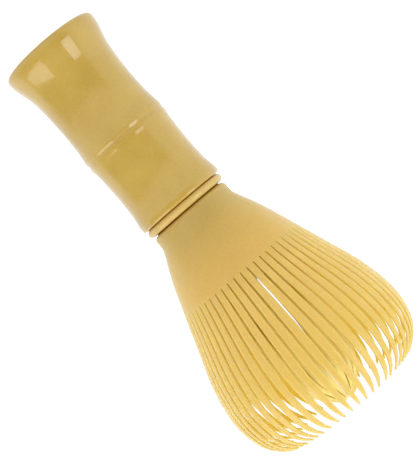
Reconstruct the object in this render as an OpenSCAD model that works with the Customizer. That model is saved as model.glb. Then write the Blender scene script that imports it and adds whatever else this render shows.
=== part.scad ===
// Moulded tea whisk: a hollow handle, a loose collar ring, a screw-in head whose bell
// splits into thin outer tines, and an inner bundle of tines that plugs into the head.
// Millimetres. +Z runs along the axis from the handle's flat end to the tips.

/* [Whisk] */
// Height of the whisk, from the handle's flat end to the tips of the tines
whisk_h = 115.75; // [110:0.25:122]

/* [Handle] */
// Height of the handle at its mouth
handle_h = 51.45; // [48:0.05:54]
// Radius of the flat end
foot_r = 12.45; // [12:0.05:12.6]
// Radius of the flared rim beside the flat end
rim_r = 13.65; // [13:0.05:13.8]
// Radius at the lower waist
waist_r = 11.45; // [11.2:0.05:11.6]
// Radius at the bamboo-like node
node_r = 12.15; // [11.9:0.05:12.4]
// Height of the node line
node_z = 30; // [28:0.5:32]
// Radius of the shoulder below the mouth
shoulder_r = 12.25; // [12:0.05:12.4]
// Radius of the hollow
hollow_r = 9.2; // [8.8:0.1:9.4]

/* [End cap] */
// Radius of the cap
cap_r = 10.9; // [10:0.1:11.2]
// Thickness of the cap's plate
cap_t = 2; // [1.5:0.1:3]
// Length of the boss that locates the cap in the hollow
boss_h = 2; // [1:0.1:4]

/* [Collar ring] */
// Radius of the ring
collar_r = 11.8; // [11.6:0.05:12]
// Height of the ring
collar_h = 2.1; // [1.8:0.1:2.6]

/* [Head] */
// Radius over the crests of the head's thread
spigot_r = 7.4; // [7:0.1:7.8]
// Length of the threaded spigot below the ring's top face
spigot_h = 9.6; // [8:0.1:10]
// Radius of the neck
neck_r = 11.3; // [11.1:0.05:11.5]
// Height where the neck opens into the bell
bell_z = 59; // [58:0.25:60]
// Largest radius of the bell
bell_r = 26.15; // [25:0.05:27]
// Radius of the ring that the outer tips stand on
tip_r = 19.7; // [18.5:0.1:21]
// Thickness of the bell where the tines start
bell_t = 1.1; // [1:0.05:1.5]
// Thickness of a tine at its tip
tip_t = 0.5; // [0.4:0.05:0.9]

/* [Outer tines] */
// Number of outer tines
tine_n = 55; // [48:1:60]
// Height where the slits between the tines start
slit_z = 72.95; // [70:0.05:78]
// Width of a slit where it starts
slit_w = 0.3; // [0.25:0.05:0.4]

/* [Inner tines] */
// Number of inner tines
core_n = 28; // [20:1:30]
// Height where the slits between the inner tines start
core_slit_z = 77.5; // [66:0.5:84]
// Largest radius of the inner bundle
core_r = 9.5; // [9:0.1:10]
// Radius of the bundle where the inner tips meet
core_tip_r = 2.2; // [2:0.1:2.4]
// Thickness of the inner tines
core_t = 1.2; // [0.9:0.1:1.4]
// Radius of the plug that seats in the head
plug_r = 5.45; // [5:0.05:5.8]
// Length of the plug
plug_h = 11; // [9:0.5:12]
// Width of a slit between two inner tines
core_slit_w = 0.56; // [0.4:0.02:0.7]

/* [Hidden] */
$fn = 96;

olive = [0.77, 0.65, 0.33];
cream = [0.88, 0.77, 0.46];
amber = [0.87, 0.73, 0.4];
straw = [0.91, 0.78, 0.44];

seam = 0.2;                             // visible parting gap at the edge of a joint face
corner_r = 1.2;                         // rounding of the handle's foot
lip_r = 0.6;                            // rounding of the handle's mouth
groove = 0.2;                           // depth and half width of the node line
run_gap = 0.08;                         // radial clearance of a running fit
face_r = 10.1;                          // radius of the faces that the ring is clamped by
collar_z = handle_h;                    // underside of the ring
seat_z = handle_h + collar_h;           // face of the neck that clamps the ring
mouth_r = spigot_r + run_gap;           // bore of the handle's mouth and of the ring
mouth_h = 11;                           // depth of the threaded mouth
plug_bore_r = plug_r + run_gap;         // bore of the head
floor_z = 59.5;                         // floor of the bell, where the insert's hub seats
hub_r = 9.2;                            // radius of the insert's hub
hub_h = 1.8;                            // thickness of the hub
core_base_r = 7.4;                      // radius of the bundle at the hub
core_top = whisk_h - 0.35;              // height of the inner tips
handle_steps = 3;                       // chords in each span of the handle's outline
bell_steps = 2;                         // chords in each span of the bell's outline
slit_turn = 1.4;                        // angle of the first slit from the front, -Y
core_turn = -12.7;                      // angle of the first inner slit from the front

// A smooth curve through the points of p, where t in each span runs from 0 to 1
function at(p, i) = p[max(0, min(len(p) - 1, i))];
function spline(p, i, t) = 0.5 * (
    2 * at(p, i)
    + t * (at(p, i + 1) - at(p, i - 1))
    + t * t * (2 * at(p, i - 1) - 5 * at(p, i) + 4 * at(p, i + 1) - at(p, i + 2))
    + t * t * t * (3 * (at(p, i) - at(p, i + 1)) + at(p, i + 2) - at(p, i - 1)));
function smooth(p, n) = concat(
    [for (i = [0 : len(p) - 2], k = [0 : n - 1]) spline(p, i, k / n)], [at(p, len(p) - 1)]);

// A quarter turn, or part of one, about the centre c, from angle a to angle b
function arc(c, r, a, b, n) = [for (k = [0 : n])
    let (turn = a + (b - a) * k / n) c + r * [cos(turn), sin(turn)]];

// The points of p moved to their left by t0 at the first point, through to t1 at the last
function left(v) = [-v[1], v[0]] / norm(v);
function inset(p, t0, t1) = [for (i = [0 : len(p) - 1])
    at(p, i) + left(at(p, i + 1) - at(p, i - 1)) * (t0 + (t1 - t0) * i / (len(p) - 1))];

function flip(p) = [for (i = [len(p) - 1 : -1 : 0]) p[i]];

// Outside of the handle, from its foot to its mouth
handle_low = smooth([
    [rim_r, corner_r], [rim_r - 0.2, 3.2], [rim_r - 1.45, 8], [waist_r + 0.25, 12], [waist_r, 18],
    [waist_r + 0.15, 24], [node_r - 0.1, node_z - 2], [node_r, node_z - groove]], handle_steps);
handle_high = smooth([
    [node_r, node_z + groove], [node_r - 0.15, node_z + 2], [waist_r + 0.2, node_z + 6.5],
    [waist_r + 0.18, node_z + 11], [waist_r + 0.4, handle_h - 5], [shoulder_r, handle_h - 2],
    [shoulder_r, handle_h - seam - lip_r]], handle_steps);
handle_outside = concat(
    arc([foot_r, corner_r], corner_r, -90, 0, 4),
    handle_low,
    [[node_r - groove, node_z]],
    handle_high,
    arc([shoulder_r - lip_r, handle_h - seam - lip_r], lip_r, 20, 90, 3),
    [[face_r, handle_h - seam]]);

// Outside of the bell, from the neck to the tips
bell_outside = smooth([
    [neck_r + 0.7, bell_z], [15.3, bell_z + 7.2], [20.3, whisk_h - 35.75], [24.55, whisk_h - 23.5],
    [bell_r, whisk_h - 13.5], [bell_r - 1.15, whisk_h - 6.05], [tip_r + 2.9, whisk_h - 2.25],
    [tip_r, whisk_h]], bell_steps);
bell_inside = inset(bell_outside, bell_t + 0.4, tip_t);

// Outside of the inner bundle, from the hub to the tips
core_outside = smooth([
    [core_base_r, floor_z + hub_h], [core_r - 0.8, 74], [core_r - 0.1, 88], [core_r, 98],
    [core_r - 0.8, 106.5], [core_tip_r + 4.2, core_top - 3.8], [core_tip_r, core_top]], bell_steps);
core_inside = inset(core_outside, core_t, core_t - 0.3);

// Half the width of the gap between two tines, at rising heights
slit_gap = [[slit_w / 2, slit_z], [0.28, whisk_h - 22.9], [0.56, whisk_h - 14.6],
    [0.61, whisk_h - 7.85], [0.66, whisk_h - 3.15], [0.9, whisk_h + 1]];
core_gap = [[core_slit_w / 2, core_slit_z], [core_slit_w / 2, 92.6], [0.12, 96.4],
    [0.1, core_top + 1]];

module turned(points) {
    rotate_extrude() polygon(points);
}

// Radial blades that part the tines. gap holds the blade's half width at rising heights
module blades(n, gap, r0, r1, turn) {
    for (i = [0 : n - 1])
        rotate(turn + i * 360 / n)
            translate([0, -r0, 0])
                rotate([90, 0, 0])
                    linear_extrude(r1 - r0)
                        polygon(concat(gap, flip([for (g = gap) [-g[0], g[1]]])));
}

module handle_shell() {
    color(olive)
        turned(concat(
            [[cap_r, 0]],
            handle_outside,
            [[face_r, handle_h], [mouth_r, handle_h], [mouth_r, handle_h - mouth_h],
            [hollow_r, handle_h - mouth_h - 2], [hollow_r, cap_t], [cap_r, cap_t]]));
}

module handle_end_cap() {
    color(olive) {
        cylinder(h = cap_t, r = cap_r);
        cylinder(h = cap_t + boss_h, r = hollow_r - run_gap);
    }
}

module collar_ring() {
    round_r = collar_h / 2;
    color(cream)
        turned(concat(
            [[mouth_r, collar_z], [face_r, collar_z]],
            arc([collar_r - round_r, collar_z + round_r], round_r, -80, 80, 8),
            [[face_r, collar_z + collar_h], [mouth_r, collar_z + collar_h]]));
}

module outer_tines() {
    color(amber)
        difference() {
            turned(concat(
                [[plug_bore_r, seat_z - spigot_h], [spigot_r - 0.5, seat_z - spigot_h],
                [spigot_r, seat_z - spigot_h + 0.5], [spigot_r, seat_z], [face_r - 0.2, seat_z],
                [face_r - 0.2, seat_z + seam]],
                arc([neck_r - 1, seat_z + seam + 1], 1, -80, 0, 4),
                [[neck_r + 0.1, bell_z - 1.8]],
                bell_outside,
                flip([for (p = bell_inside) if (p[1] > floor_z + 2) p]),
                [[hub_r + 0.3, floor_z], [plug_bore_r, floor_z]]));
            blades(tine_n, slit_gap, 15, 28, slit_turn);
        }
}

module inner_tines() {
    color(straw)
        difference() {
            turned(concat(
                [[0, floor_z - plug_h], [plug_r - 0.5, floor_z - plug_h],
                [plug_r, floor_z - plug_h + 0.5], [plug_r, floor_z], [hub_r, floor_z],
                [hub_r, floor_z + hub_h]],
                core_outside,
                flip([for (p = core_inside) if (p[1] > floor_z + hub_h) p]),
                [[core_base_r - core_t - 1, floor_z + hub_h], [0, floor_z + hub_h]]));
            blades(core_n, core_gap, 1.2, 12, core_turn);
        }
}

handle_shell();
handle_end_cap();
collar_ring();
outer_tines();
inner_tines();
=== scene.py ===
"""The looks of a moulded tea whisk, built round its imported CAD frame.

The whisk stands on the flat end of its handle, with its tines up. Outlines are lists of
(radius, height) in millimetres, and meshes are scaled to metres as they are made.
"""

import math
import random

import bmesh
import bpy
from mathutils import Matrix, Vector


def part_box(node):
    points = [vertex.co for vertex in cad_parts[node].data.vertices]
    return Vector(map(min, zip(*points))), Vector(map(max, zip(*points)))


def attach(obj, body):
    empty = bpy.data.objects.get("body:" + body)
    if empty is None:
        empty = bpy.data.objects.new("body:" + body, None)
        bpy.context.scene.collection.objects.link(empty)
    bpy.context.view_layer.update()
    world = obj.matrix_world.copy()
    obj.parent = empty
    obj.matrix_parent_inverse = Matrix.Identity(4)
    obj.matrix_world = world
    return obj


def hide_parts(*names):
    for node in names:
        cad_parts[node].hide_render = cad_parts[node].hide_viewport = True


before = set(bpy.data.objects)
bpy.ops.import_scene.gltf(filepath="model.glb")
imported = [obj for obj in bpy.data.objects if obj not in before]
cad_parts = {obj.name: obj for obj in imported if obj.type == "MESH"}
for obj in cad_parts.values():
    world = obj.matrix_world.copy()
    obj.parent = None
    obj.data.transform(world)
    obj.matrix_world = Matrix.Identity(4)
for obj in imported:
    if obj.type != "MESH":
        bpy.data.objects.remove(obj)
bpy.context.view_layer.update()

MM = 0.001

# ---------------------------------------------------------------- sizes, from the frame


def top(node):
    """Height of a CAD node's highest point, in mm."""
    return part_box(node)[1].z / MM


def bottom(node):
    """Height of a CAD node's lowest point, in mm."""
    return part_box(node)[0].z / MM


def radius(node):
    """Largest radius of a CAD node, in mm."""
    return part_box(node)[1].x / MM


WHISK_H = top("outer_tines")
HANDLE_H = top("handle_shell")
RIM_R = radius("handle_shell")
CAP_R = radius("handle_end_cap")
COLLAR_R = radius("collar_ring")
COLLAR_H = top("collar_ring") - HANDLE_H
SEAT_Z = top("collar_ring")
BELL_R = radius("outer_tines")
SPIGOT_Z = bottom("outer_tines")
PLUG_Z = bottom("inner_tines")
CORE_R = radius("inner_tines")
CORE_TOP = top("inner_tines")

# Sizes that the frame's boxes don't give, in mm, as in the CAD model
FOOT_R = 12.45
CORNER_R = 1.2
WAIST_R = 11.45
NODE_R = 12.15
NODE_Z = 30
SHOULDER_R = 12.25
LIP_R = 0.6
FACE_R = 10.1
HOLLOW_R = 9.2
SPIGOT_R = 7.4
RUN_GAP = 0.08
MOUTH_H = 11
CAP_T = 2
NECK_R = 11.3
BELL_Z = 59
TIP_R = 19.7
FLOOR_Z = 59.5
HUB_R = 9.2
HUB_H = 1.8
CORE_BASE_R = 7.4
CORE_TIP_R = 2.2
PLUG_R = 5.45
THREAD_PITCH = 3

# Tines, and the height and angle from the front where their slits start
TINES = 55
SLIT_Z = 72.95
SLIT_TURN = 1.4
CORE_TINES = 28
CORE_SLIT_Z = 77.5
CORE_TURN = -12.4

# Details that the CAD model leaves out, in mm
LIP_DROP = 0.08  # from the handle's mouth down to its rounded lip
THREAD_DEPTH = 0.5
SWELL = (0.05, 0.03)  # slow unevenness of the moulded handle
PARTING = 0.05  # height of the mould's parting line

# ------------------------------------------------------------------------- outlines


def spline(points, steps):
    """A smooth curve through points, with steps chords in each span."""
    last = len(points) - 1
    curve = []
    for i in range(last):
        a, b, c, d = (points[min(max(i + k, 0), last)] for k in (-1, 0, 1, 2))
        for k in range(steps):
            t = k / steps
            curve.append(
                tuple(
                    0.5
                    * (
                        2 * b[n]
                        + t * (c[n] - a[n])
                        + t * t * (2 * a[n] - 5 * b[n] + 4 * c[n] - d[n])
                        + t**3 * (3 * (b[n] - c[n]) + d[n] - a[n])
                    )
                    for n in (0, 1)
                )
            )
    return curve + [tuple(points[last])]


def arc(centre, r, start, end, steps):
    """Points on an arc round centre, from angle start to end in degrees."""
    angles = (math.radians(start + (end - start) * k / steps) for k in range(steps + 1))
    return [(centre[0] + r * math.cos(a), centre[1] + r * math.sin(a)) for a in angles]


def resample(points, cuts):
    """Points of a polyline at the given shares of its length, each with its unit normal to
    the left of the way it runs."""
    steps = [math.dist(p, q) for p, q in zip(points, points[1:])]
    total = sum(steps)
    out = []
    for cut in cuts:
        left = cut * total
        i = 0
        while i < len(steps) - 1 and left > steps[i]:
            left -= steps[i]
            i += 1
        t = min(left / steps[i], 1)
        p, q = points[i], points[i + 1]
        near = points[max(i - 1, 0)], points[min(i + 2, len(points) - 1)]
        run = (near[1][0] - near[0][0], near[1][1] - near[0][1])
        size = math.hypot(*run)
        out.append(
            (p[0] + (q[0] - p[0]) * t, p[1] + (q[1] - p[1]) * t, -run[1] / size, run[0] / size)
        )
    return out


def ramp(table, x):
    """The value at x of a table of (x, value) pairs in rising order of x."""
    if x <= table[0][0]:
        return table[0][1]
    for (x0, v0), (x1, v1) in zip(table, table[1:]):
        if x <= x1:
            return v0 + (v1 - v0) * (x - x0) / (x1 - x0)
    return table[-1][1]


def ease(t):
    """0 to 1, level at both ends."""
    t = min(max(t, 0), 1)
    return t * t * (3 - 2 * t)


# --------------------------------------------------------------------------- meshes


def new_object(name, verts, faces):
    """A welded mesh of verts in mm, smooth except at hard corners."""
    mesh = bpy.data.meshes.new(name)
    mesh.from_pydata([Vector(v) * MM for v in verts], [], faces)
    work = bmesh.new()
    work.from_mesh(mesh)
    bmesh.ops.remove_doubles(work, verts=work.verts, dist=1e-6)
    bmesh.ops.dissolve_degenerate(work, edges=work.edges, dist=1e-7)
    bmesh.ops.recalc_face_normals(work, faces=work.faces)
    work.to_mesh(mesh)
    work.free()
    mesh.shade_smooth()
    mesh.set_sharp_from_angle(angle=math.radians(38))
    obj = bpy.data.objects.new(name, mesh)
    bpy.context.scene.collection.objects.link(obj)
    return obj


def lathe(name, outline, sides=144, shape=None):
    """Turns a closed outline about Z. shape(r, z, angle) may move a point's radius."""
    verts = []
    for r, z in outline:
        for k in range(sides):
            angle = 2 * math.pi * k / sides
            at = shape(r, z, angle) if shape else r
            verts.append((at * math.cos(angle), at * math.sin(angle), z))
    faces = []
    rows = len(outline)
    for i in range(rows):
        j = (i + 1) % rows
        if outline[i][0] == 0 and outline[j][0] == 0:
            continue
        for k in range(sides):
            m = (k + 1) % sides
            faces.append((i * sides + k, i * sides + m, j * sides + m, j * sides + k))
    return new_object(name, verts, faces)


def thread(phase, crest, depth, low, high):
    """A shape for lathe: a round-crested helical thread that fades out past low and high."""

    def shape(r, z, angle):
        if abs(r - crest) > 0.01 or not low < z < high:
            return r
        turn = (z / THREAD_PITCH - angle / (2 * math.pi) + phase) % 1
        rib = ease((0.5 - abs(turn - 0.5)) * 4 - 0.45)
        fade = ease((z - low) / 1.2) * ease((high - z) / 1.2)
        return r + depth * (1 - rib * fade)

    return shape


# ------------------------------------------------------------------- the tine sets

COLUMNS = (-1, -0.35, 0.35, 1)  # shares of half a pitch, across one tine's sector
LOOP = 16  # points round one tine's cross-section, as corner_points() makes them
WALL_EDGES = (2, 3, 4, 10, 11, 12)  # edges of the loop that face out of or into the shell
BOW = 0.45  # largest bow of a tine, as a share of its largest sideways drift
TWIST = 0.07  # largest twist of a tine at its tip, as a slope


def group_set(groups, angle, share):
    """How far, in mm, a tine at an angle has set with its neighbours, at a share of its
    length.

    Each group holds the angles where it starts, is full, wanes and ends, in degrees from
    +X, how far it sets, and the shares of a tine's length where that starts and is full.
    """
    degrees = math.degrees(angle) % 360
    total = 0
    for start, full, wane, end, amount, low, high in groups:
        level = ease((degrees - start) / (full - start)) * ease((end - degrees) / (end - wane))
        total += amount * level * ease((share - low) / (high - low))
    return total


def corner_points(half, depth, rounding):
    """A rounded cross-section as (share of the half width, depth) pairs. It runs along the
    outer face, down one side, back along the inner face and up the other side."""
    rounding = min(rounding, depth * 0.45, half * 0.8)
    bend = [(1 - math.cos(a), 1 - math.sin(a)) for a in (0, math.pi / 4, math.pi / 2)]
    corner = [(1 - rounding * x / half, rounding * y) for x, y in bend]
    outer = [(-x, y) for x, y in corner] + [(u, 0) for u in COLUMNS[1:3]] + corner[::-1]
    return outer + [(x, depth - y) for x, y in outer[::-1]]


def tine_rows(outline, slit_z, depths, rounding):
    """Rows (r, z, normal r, normal z, thickness, width share) up a shell's outer face. One
    row lies where the slits start, and the last ones round the tips off. depths are
    (height, thickness) pairs."""
    steps = [math.dist(p, q) for p, q in zip(outline, outline[1:])]
    below = sum(step for step, p in zip(steps, outline) if p[1] < slit_z)
    split = below / sum(steps)
    low = [split * k / 14 for k in range(15)]
    high = [split + 0.006] + [split + (1 - split) * k / 44 for k in range(1, 44)] + [0.998]
    rows = [(*row, ramp(depths, row[1]), 1) for row in resample(outline, low + high)]
    r, z, nr, nz, depth, _ = rows[-1]
    for a in (30, 55, 75):
        along, share = rounding * math.sin(math.radians(a)), math.cos(math.radians(a))
        inset = depth * (1 - share) / 2
        at = (r + nr * inset + nz * along, z + nz * inset - nr * along)
        rows.append((*at, nr, nz, depth * share, share))
    return rows, len(low) - 1


def tine_shell(
    name, rows, split, count, turn, gap, stray, seed, bases, shape=None, leans=(), pushes=()
):
    """One moulding: a wall that parts into tines above row split, joined below to bases.

    turn is the first slit's angle from the front, in degrees. gap is a table of (height,
    half the width of a slit). stray is the largest drift of a tip, in mm, sideways and in
    radius. bases are outlines that close the moulding below its first row. leans are groups
    of tines that set a little to one side, and pushes groups that set outwards, as
    group_set() describes.
    """
    rng = random.Random(seed)
    pitch = 2 * math.pi / count
    verts, faces = [], []
    for tine in range(count):
        centre = math.radians(turn - 90) + (tine + 0.5) * pitch
        slant, lift, wave, twist = (rng.uniform(-1, 1) for _ in range(4))
        start = len(verts)
        for i, (r, z, nr, nz, depth, narrow) in enumerate(rows):
            share = max(0, (i - split) / (len(rows) - 1 - split))
            bow = BOW * wave * math.sin(math.pi * share) * share
            drift = stray[0] * (slant * share**2 + bow) + group_set(leans, centre, share)
            push = stray[1] * lift * share**2 + group_set(pushes, centre, share)
            half_gap = ramp(gap, z) if i > split else 0
            half = pitch / 2 * r - half_gap
            rounding = 0.3 * ease(share * 8)
            for u, d in corner_points(half, depth, rounding):
                at_r = r + nr * d + push - TWIST * u * twist * half * share
                angle = centre + narrow * u * (pitch / 2 - half_gap / at_r) + drift / at_r
                verts.append((at_r * math.cos(angle), at_r * math.sin(angle), z + nz * d))
        for i in range(len(rows) - 1):
            for k in WALL_EDGES if i < split else range(LOOP):
                a, b, m = start + i * LOOP, start + (i + 1) * LOOP, (k + 1) % LOOP
                faces.append((a + k, a + m, b + m, b + k))
        end = start + (len(rows) - 1) * LOOP
        faces.append(tuple(end + k for k in range(LOOP)))
        for outline in bases:
            start = len(verts)
            for r, z in outline:
                for u in COLUMNS:
                    angle = centre + u * pitch / 2
                    at_r = shape(r, z, angle) if shape else r
                    verts.append((at_r * math.cos(angle), at_r * math.sin(angle), z))
            wide = len(COLUMNS)
            for i in range(len(outline) - 1):
                for k in range(wide - 1):
                    a = start + i * wide + k
                    faces.append((a, a + 1, a + 1 + wide, a + wide))
    return new_object(name, verts, faces)


# --------------------------------------------------------------------------- pieces


def handle():
    """Hollow shell with flared ends, a bamboo-like node and a threaded mouth."""
    lip_z = HANDLE_H - LIP_DROP - LIP_R
    low = spline(
        [
            (RIM_R, CORNER_R),
            (RIM_R - 0.2, 3.2),
            (RIM_R - 1.45, 8),
            (WAIST_R + 0.25, 12),
            (WAIST_R, 18),
            (WAIST_R + 0.15, 24),
            (NODE_R - 0.08, NODE_Z - 1.9),
            (NODE_R, NODE_Z - 1.05),
            (NODE_R - 0.2, NODE_Z - 0.32),
        ],
        8,
    )
    high = spline(
        [
            (NODE_R - 0.03, NODE_Z + 0.35),
            (NODE_R - 0.07, NODE_Z + 1.1),
            (NODE_R - 0.22, NODE_Z + 2.1),
            (NODE_R - 0.34, NODE_Z + 3.4),
            (WAIST_R + 0.22, NODE_Z + 6.5),
            (WAIST_R + 0.15, NODE_Z + 12),
            (WAIST_R + 0.35, HANDLE_H - 5),
            (SHOULDER_R, HANDLE_H - 2),
            (SHOULDER_R, lip_z),
        ],
        8,
    )
    mouth_r = SPIGOT_R + RUN_GAP
    mouth_steps = 44
    mouth = [(mouth_r, HANDLE_H - MOUTH_H * k / mouth_steps) for k in range(1, mouth_steps + 1)]
    outline = (
        [(CAP_R, 0)]
        + arc((FOOT_R, CORNER_R), CORNER_R, -90, 0, 8)
        + low[1:]
        + [(NODE_R - 0.24, NODE_Z - 0.12), (NODE_R - 0.18, NODE_Z + 0.1)]
        + high
        + arc((SHOULDER_R - LIP_R, lip_z), LIP_R, 8, 90, 7)
        + [(FACE_R, HANDLE_H - LIP_DROP), (FACE_R - 0.05, HANDLE_H), (mouth_r + 0.35, HANDLE_H)]
        + [(mouth_r, HANDLE_H - 0.2)]
        + mouth
        + [(HOLLOW_R, HANDLE_H - MOUTH_H - 2), (HOLLOW_R, CAP_T), (CAP_R, CAP_T)]
    )
    groove = thread(0.5, mouth_r, THREAD_DEPTH, HANDLE_H - MOUTH_H + 1, HANDLE_H - 0.4)

    def shape(r, z, angle):
        if abs(r - mouth_r) < 0.01:
            return groove(r, z, angle)
        if r < HOLLOW_R + 0.1 or not 0.8 < z < HANDLE_H - 0.6:
            return r
        swell = SWELL[0] * math.sin(2 * angle + z * 0.11)
        swell += SWELL[1] * math.sin(3 * angle - z * 0.23)
        swell *= ease(z / 6) * ease((HANDLE_H - z) / 6)
        side = math.exp(-((math.cos(angle) ** 2 - 1) ** 2) * 4e5)
        return r + swell + PARTING * side * ease((z - 1) / 2)

    return lathe("handle", outline, 192, shape)


def end_cap():
    """Plug in the foot of the handle, dished, with a moulding mark in the middle."""
    outline = (
        [(0, 0.25), (0.7, 0.25), (0.8, 0.32), (1.6, 0.32)]
        + [(CAP_R - 2.2, 0.3), (CAP_R - 1.9, 0.22), (CAP_R - 1.6, 0.02), (CAP_R - 1.4, 0)]
        + [(CAP_R - 0.3, 0), (CAP_R - 0.02, 0.3), (CAP_R - 0.02, CAP_T), (HOLLOW_R - 0.1, CAP_T)]
        + [(HOLLOW_R - 0.1, CAP_T + 1.7), (HOLLOW_R - 0.4, CAP_T + 2), (0, CAP_T + 2)]
    )
    return lathe("end_cap", outline, 128)


def collar():
    """Loose ring between the handle and the head."""
    half = COLLAR_H / 2
    mouth_r = SPIGOT_R + RUN_GAP
    outline = (
        [(mouth_r, HANDLE_H + 0.15), (mouth_r + 0.15, HANDLE_H), (FACE_R, HANDLE_H)]
        + arc((COLLAR_R - half, HANDLE_H + half), half, -78, 78, 16)
        + [(FACE_R, SEAT_Z), (mouth_r + 0.15, SEAT_Z), (mouth_r, SEAT_Z - 0.15)]
    )
    return lathe("collar", outline, 160)


def head():
    """Threaded spigot, neck and bell, which parts into the outer tines."""
    outline = spline(
        [
            (NECK_R + 0.7, BELL_Z),
            (15.3, BELL_Z + 7.2),
            (20.3, WHISK_H - 35.75),
            (24.55, WHISK_H - 23.5),
            (BELL_R, WHISK_H - 13.5),
            (BELL_R - 1.15, WHISK_H - 6.05),
            (TIP_R + 2.9, WHISK_H - 2.1),
            (TIP_R, WHISK_H + 0.2),
        ],
        24,
    )
    depths = [(60, 1.5), (SLIT_Z, 1.1), (86, 0.75), (98, 0.56), (WHISK_H, 0.5)]
    rows, split = tine_rows(outline, SLIT_Z, depths, 0.3)
    first = rows[0]
    inner = (first[0] + first[2] * first[4], first[1] + first[3] * first[4])
    bore_r = PLUG_R + RUN_GAP
    spigot_top = SEAT_Z - 0.4
    spigot = [(SPIGOT_R, spigot_top - 0.2 * k) for k in range(int((spigot_top - SPIGOT_Z) / 0.2))]
    base = (
        [(first[0], first[1]), (NECK_R + 0.32, BELL_Z - 0.9), (NECK_R + 0.1, BELL_Z - 1.8)]
        + [(NECK_R, BELL_Z - 3)]
        + arc((NECK_R - 1.25, SEAT_Z + 1.5), 1.25, 0, -65, 7)
        + [(NECK_R - 1.25, SEAT_Z + 0.24), (FACE_R - 0.3, SEAT_Z + 0.08), (FACE_R - 0.4, SEAT_Z)]
        + [(SPIGOT_R, SEAT_Z)]
        + spigot
        + [(SPIGOT_R - 0.5, SPIGOT_Z), (bore_r + 0.3, SPIGOT_Z), (bore_r, SPIGOT_Z + 0.3)]
        + [(bore_r, FLOOR_Z), (HUB_R + 0.3, FLOOR_Z), (inner[0] - 0.4, inner[1] - 0.6), inner]
    )
    gap = [(SLIT_Z, 0), (SLIT_Z + 0.25, 0.17), (82, 0.25), (WHISK_H - 17.5, 0.31)]
    gap += [(WHISK_H - 11, 0.57), (WHISK_H - 3.15, 0.66), (WHISK_H, 0.85)]
    # Start, full, wane and end angles, how far, and the shares where it starts and is full
    leans = [
        (8, 30, 42, 58, 1, 0.45, 0.75),
        (42, 58, 76, 92, 1, 0.66, 0.92),
        (84, 93, 102, 112, 0.4, 0, 0.22),
        (105, 150, 152, 205, 1.8, 0.25, 0.55),
    ]
    pushes = [(135, 165, 200, 230, -0.5, 0.7, 1)]
    return tine_shell(
        "head",
        rows,
        split,
        count=TINES,
        turn=SLIT_TURN,
        gap=gap,
        stray=(0.3, 0.35),
        seed=7,
        bases=[base],
        shape=thread(0, SPIGOT_R, -THREAD_DEPTH, SPIGOT_Z + 0.4, spigot_top),
        leans=leans,
        pushes=pushes,
    )


def core():
    """Plug, hub and the bundle of inner tines."""
    hub_z = FLOOR_Z + HUB_H
    outline = spline(
        [
            (CORE_BASE_R, hub_z),
            (CORE_R - 0.8, 74),
            (CORE_R - 0.1, 88),
            (CORE_R, 98),
            (CORE_R - 0.8, 106.5),
            (CORE_TIP_R + 3.6, CORE_TOP - 3.8),
            (CORE_TIP_R, CORE_TOP),
        ],
        24,
    )
    depths = [(hub_z, 1.2), (90, 0.8), (CORE_TOP, 0.6)]
    rows, split = tine_rows(outline, CORE_SLIT_Z, depths, 0.25)
    first = rows[0]
    inner = (first[0] + first[2] * first[4], first[1] + first[3] * first[4])
    outside = (
        [(first[0], first[1]), (CORE_BASE_R + 0.3, hub_z), (HUB_R - 0.2, hub_z)]
        + [(HUB_R, hub_z - 0.2), (HUB_R, FLOOR_Z), (PLUG_R, FLOOR_Z), (PLUG_R, PLUG_Z + 0.5)]
        + [(PLUG_R - 0.5, PLUG_Z), (0, PLUG_Z)]
    )
    inside = [inner, (inner[0] - 0.8, hub_z), (0, hub_z)]
    gap = [(CORE_SLIT_Z, 0), (CORE_SLIT_Z + 0.3, 0.33), (92.6, 0.33), (97, 0.1)]
    return tine_shell(
        "core",
        rows,
        split,
        count=CORE_TINES,
        turn=CORE_TURN,
        gap=gap,
        stray=(0.25, 0.25),
        seed=11,
        bases=[outside, inside],
    )


# ------------------------------------------------------------------------ materials


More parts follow.
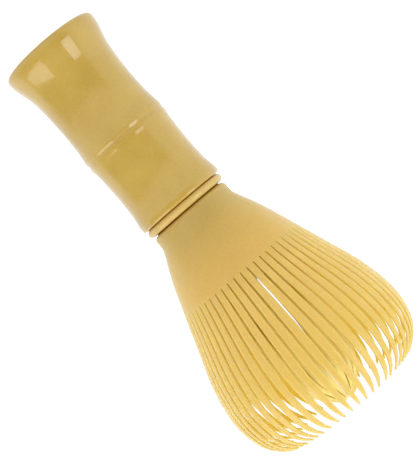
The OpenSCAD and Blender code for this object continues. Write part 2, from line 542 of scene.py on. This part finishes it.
class Nodes:
    """Short calls for building one material's node tree."""

    def __init__(self, name):
        self.material = bpy.data.materials.new(name)
        self.material.use_nodes = True
        self.tree = self.material.node_tree
        self.shader = self.tree.nodes["Principled BSDF"]
        self.place = self.add("ShaderNodeTexCoord").outputs["Object"]

    def add(self, kind, **values):
        node = self.tree.nodes.new(kind)
        for key, value in values.items():
            setattr(node, key, value)
        return node

    def link(self, source, target):
        self.tree.links.new(source, target)

    def noise(self, scale, detail=3, stretch=(1, 1, 1)):
        """Noise from 0 to 1, with scale in features a metre."""
        mapping = self.add("ShaderNodeMapping")
        mapping.inputs["Scale"].default_value = stretch
        node = self.add("ShaderNodeTexNoise")
        node.inputs["Scale"].default_value = scale
        node.inputs["Detail"].default_value = detail
        self.link(self.place, mapping.inputs["Vector"])
        self.link(mapping.outputs["Vector"], node.inputs["Vector"])
        return node.outputs["Fac"]

    def span(self, value, low, high, to_low=0.0, to_high=1.0):
        """value mapped from low..high to to_low..to_high, and held at the ends."""
        node = self.add("ShaderNodeMapRange")
        for key, number in (
            ("From Min", low),
            ("From Max", high),
            ("To Min", to_low),
            ("To Max", to_high),
        ):
            node.inputs[key].default_value = number
        self.link(value, node.inputs["Value"])
        return node.outputs["Result"]

    def mix(self, factor, a, b, kind="MIX"):
        """Colour a towards colour b. Each is a socket or an (r, g, b)."""
        node = self.add("ShaderNodeMix", data_type="RGBA", blend_type=kind)
        sockets = (node.inputs["Factor"], *(i for i in node.inputs if i.type == "RGBA"))
        for socket, value in zip(sockets, (factor, a, b)):
            if isinstance(value, bpy.types.NodeSocket):
                self.link(value, socket)
            elif isinstance(value, tuple):
                socket.default_value = (*value, 1)
            else:
                socket.default_value = value
        return next(o for o in node.outputs if o.type == "RGBA")

    def height(self):
        """Height in the whisk's frame, in metres."""
        node = self.add("ShaderNodeSeparateXYZ")
        self.link(self.place, node.inputs["Vector"])
        return node.outputs["Z"]

    def bump(self, value, distance, strength=1.0, under=None):
        node = self.add("ShaderNodeBump")
        node.inputs["Distance"].default_value = distance
        node.inputs["Strength"].default_value = strength
        self.link(value, node.inputs["Height"])
        if under:
            self.link(under, node.inputs["Normal"])
        return node.outputs["Normal"]


def srgb(r, g, b):
    """Linear colour of an 8-bit screen colour."""
    return tuple(
        c / 255 / 12.92 if c / 255 <= 0.04045 else ((c / 255 + 0.055) / 1.055) ** 2.4
        for c in (r, g, b)
    )


def resin(name, dark, light, bands, gloss, soft, grain, coat, seam_shades):
    """Moulded resin.

    dark and light are the mottle's colours. The (height in mm, colour) pairs after them tint
    it along the whisk; on the head this is partly the resin's own tone and partly painted
    light that follows how brightly each height is lit. gloss is the roughness, soft the share
    of light that enters, and grain the depth of the fine surface texture, in metres. coat is
    (weight, roughness) of the polish over it. The last argument holds bands of painted shade
    along a joint's seam, a warm brown that stands in for the shade in the gap between two
    parts; each holds the heights in mm where it starts, is full, wanes and ends, and its
    colour.
    """
    n = Nodes(name)
    colour = n.mix(n.span(n.noise(85, 4), 0.36, 0.66), dark, light)
    # Height bands: partly the resin's own tone and partly painted light, following how brightly
    # each height is lit.
    for (low, _), (high, tint) in zip(bands, bands[1:]):
        rise = n.span(n.height(), low * MM, high * MM)
        colour = n.mix(rise, colour, n.mix(0.25, tint, colour))
    # Painted shade: each seam band browns the colour next to a joint, standing in for the shade
    # in the gap between two parts.
    for start, full, wane, end, shade_tint in seam_shades:
        shaded_colour = n.mix(n.span(n.height(), start * MM, full * MM), colour, shade_tint)
        colour = n.mix(n.span(n.height(), wane * MM, end * MM), shaded_colour, colour)
    speck = n.span(n.noise(1900, 2), 0.35, 0.7, 0.96, 1.03)
    shade = n.add("ShaderNodeCombineColor")
    for k in range(3):
        n.link(speck, shade.inputs[k])
    colour = n.mix(1.0, colour, shade.outputs[0], "MULTIPLY")
    n.link(colour, n.shader.inputs["Base Color"])
    smear = n.span(n.noise(240, 4, (1, 1, 0.3)), 0.3, 0.75, gloss - 0.05, gloss + 0.09)
    n.link(smear, n.shader.inputs["Roughness"])
    wave = n.bump(n.noise(170, 2), 0.00022)
    n.link(n.bump(n.noise(2600, 3), grain, 1.0, wave), n.shader.inputs["Normal"])
    n.shader.inputs["Subsurface Weight"].default_value = soft
    n.shader.inputs["Subsurface Radius"].default_value = (1, 0.88, 0.42)
    n.shader.inputs["Subsurface Scale"].default_value = 0.0022
    n.shader.inputs["IOR"].default_value = 1.5
    n.shader.inputs["Coat Weight"].default_value = coat[0]
    n.shader.inputs["Coat Roughness"].default_value = coat[1]
    return n.material


def finish_piece(piece, material, body, node):
    """Gives a piece its material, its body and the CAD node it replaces."""
    piece.data.materials.append(material)
    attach(piece, body)
    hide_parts(node)


# Painted shade for the seams between parts: warm browns laid along each joint, standing in for
# the shade in the gaps.
pale_seam_shade = srgb(212, 166, 68)
deep_seam_shade = srgb(176, 116, 14)
olive = resin(
    "olive_resin",
    srgb(193, 158, 62),
    srgb(201, 168, 74),
    [],
    gloss=0.14,
    soft=0.15,
    grain=0.000002,
    coat=(0.7, 0.06),
    # Painted shade along the handle's mouth, at the seam to the collar.
    seam_shades=[(HANDLE_H + 0.1, HANDLE_H, HANDLE_H - 0.12, HANDLE_H - 0.3, pale_seam_shade)],
)
cream = resin(
    "cream_resin",
    srgb(209, 177, 94),
    srgb(216, 186, 106),
    [],
    gloss=0.26,
    soft=0.2,
    grain=0.000002,
    coat=(0.2, 0.2),
    # Painted shade along the collar's lower edge, at the seam to the handle.
    seam_shades=[(HANDLE_H - 0.1, HANDLE_H, HANDLE_H + 0.05, HANDLE_H + 0.25, pale_seam_shade)],
)
# The head's bands lighten it from the neck up to about 80 mm and darken it a little towards 104
# mm: partly the resin's tone and partly painted light that follows how brightly each height is
# lit.
amber = resin(
    "amber_resin",
    srgb(192, 162, 82),
    srgb(198, 170, 92),
    [
        (56, None),
        (62, srgb(213, 181, 94)),
        (72, srgb(222, 188, 101)),
        (80, srgb(230, 196, 110)),
        (104, srgb(216, 182, 94)),
    ],
    gloss=0.42,
    soft=1.0,
    grain=0.000004,
    coat=(0.35, 0.25),
    # Painted shade along the foot of the neck, at the seam to the collar.
    seam_shades=[(SEAT_Z - 0.1, SEAT_Z, SEAT_Z + 0.2, SEAT_Z + 0.5, deep_seam_shade)],
)
# The inner tines: partly their own pale yellow and partly painted light, the colour raised close
# to white to stand in for light that shines through the tines into the bundle.
straw_and_painted_light = resin(
    "straw_resin_and_painted_light",
    srgb(252, 220, 112),
    srgb(253, 225, 122),
    [],
    gloss=0.42,
    soft=0.35,
    grain=0.000004,
    coat=(0.2, 0.25),
    seam_shades=[],
)

finish_piece(handle(), olive, "handle", "handle_shell")
finish_piece(end_cap(), olive, "handle", "handle_end_cap")
finish_piece(collar(), cream, "collar", "collar_ring")
finish_piece(head(), amber, "head", "outer_tines")
finish_piece(core(), straw_and_painted_light, "core", "inner_tines")

# ---------------------------------------------------------------- floor, light, camera


def floor():
    """Wide pale floor that the whisk stands on."""
    size = 6
    mesh = bpy.data.meshes.new("floor")
    work = bmesh.new()
    bmesh.ops.create_circle(work, cap_ends=True, radius=size, segments=96)
    work.to_mesh(mesh)
    work.free()
    obj = bpy.data.objects.new("floor", mesh)
    bpy.context.scene.collection.objects.link(obj)
    n = Nodes("floor_paper")
    paper = n.mix(n.noise(30, 2), (0.92, 0.92, 0.92), (0.95, 0.95, 0.95))
    n.link(paper, n.shader.inputs["Base Color"])
    n.shader.inputs["Roughness"].default_value = 0.9
    n.shader.inputs["Emission Color"].default_value = (1, 1, 1, 1)
    n.shader.inputs["Emission Strength"].default_value = 0.62
    mesh.materials.append(n.material)
    obj.visible_diffuse = obj.visible_glossy = False


def soft_light(name, azimuth, elevation, width, height, power, distance=0.55):
    """Rectangular light aimed at the whisk. Azimuth runs from the front, -Y, towards +X."""
    light = bpy.data.lights.new(name, "AREA")
    light.shape = "RECTANGLE"
    light.size, light.size_y, light.energy = width, height, power
    obj = bpy.data.objects.new(name, light)
    a, e = math.radians(azimuth), math.radians(elevation)
    away = Vector((math.sin(a) * math.cos(e), -math.cos(a) * math.cos(e), math.sin(e)))
    obj.location = Vector((0, 0, WHISK_H * MM * 0.35)) + away * distance
    obj.rotation_euler = away.to_track_quat("Z", "Y").to_euler()
    bpy.context.scene.collection.objects.link(obj)


def white_world(seen, front, around, below):
    """White surroundings that look as bright as seen.

    They light the whisk as a studio does: front is the light from the dim side, level with
    the whisk round -Y and a little to +X, around is from the other sides and above, and
    below is off the table.
    """
    world = bpy.data.worlds.new("studio")
    bpy.context.scene.world = world
    world.use_nodes = True
    tree = world.node_tree
    back = tree.nodes["Background"]
    back.inputs["Color"].default_value = (1, 1, 1, 1)
    way = tree.nodes.new("ShaderNodeSeparateXYZ")
    place = tree.nodes.new("ShaderNodeTexCoord").outputs["Generated"]
    tree.links.new(place, way.inputs[0])
    dim = math.radians(23)

    def blend(value, low, high, start, end):
        """start to end as value goes from low to high. Both ends may be sockets."""
        node = tree.nodes.new("ShaderNodeMapRange")
        node.interpolation_type = "SMOOTHSTEP"
        node.inputs["From Min"].default_value = low
        node.inputs["From Max"].default_value = high
        tree.links.new(value, node.inputs["Value"])
        for key, level in (("To Min", start), ("To Max", end)):
            if isinstance(level, bpy.types.NodeSocket):
                tree.links.new(level, node.inputs[key])
            else:
                node.inputs[key].default_value = level
        return node.outputs["Result"]

    ahead = tree.nodes.new("ShaderNodeVectorMath")
    ahead.operation = "DOT_PRODUCT"
    tree.links.new(place, ahead.inputs[0])
    ahead.inputs[1].default_value = (math.sin(dim), -math.cos(dim), 0)
    side = blend(ahead.outputs["Value"], 0.05, 0.45, around, front)
    above = blend(way.outputs["Z"], 0.3, 0.6, side, around)
    light = blend(way.outputs["Z"], -0.14, -0.06, below, above)
    path = tree.nodes.new("ShaderNodeLightPath")
    tree.links.new(
        blend(path.outputs["Is Camera Ray"], 0, 1, light, seen), back.inputs["Strength"]
    )


def camera():
    """The photograph's angle: square to the whisk's axis, which runs down to the right."""
    tilt = math.radians(49.3)
    aim = Vector((-0.00014, 0, 0.06155))
    distance = 0.3975
    data = bpy.data.cameras.new("camera")
    data.sensor_width, data.lens = 36, 122.8
    obj = bpy.data.objects.new("camera", data)
    obj.location = aim + Vector((0, -distance, 0))
    right = Vector((-math.sin(tilt), 0, math.cos(tilt)))
    up = Vector((-math.cos(tilt), 0, -math.sin(tilt)))
    back = right.cross(up)
    obj.rotation_euler = Matrix((right, up, back)).transposed().to_euler()
    bpy.context.scene.collection.objects.link(obj)
    bpy.context.scene.camera = obj


floor()
white_world(seen=1.05, front=0.37, around=1.12, below=1.04)
soft_light("window_left", azimuth=61, elevation=29.5, width=0.56, height=0.38, power=1.1)
soft_light("window_right", azimuth=-38.5, elevation=29, width=0.22, height=0.4, power=0.68)
camera()
bpy.context.scene.view_settings.view_transform = "Standard"
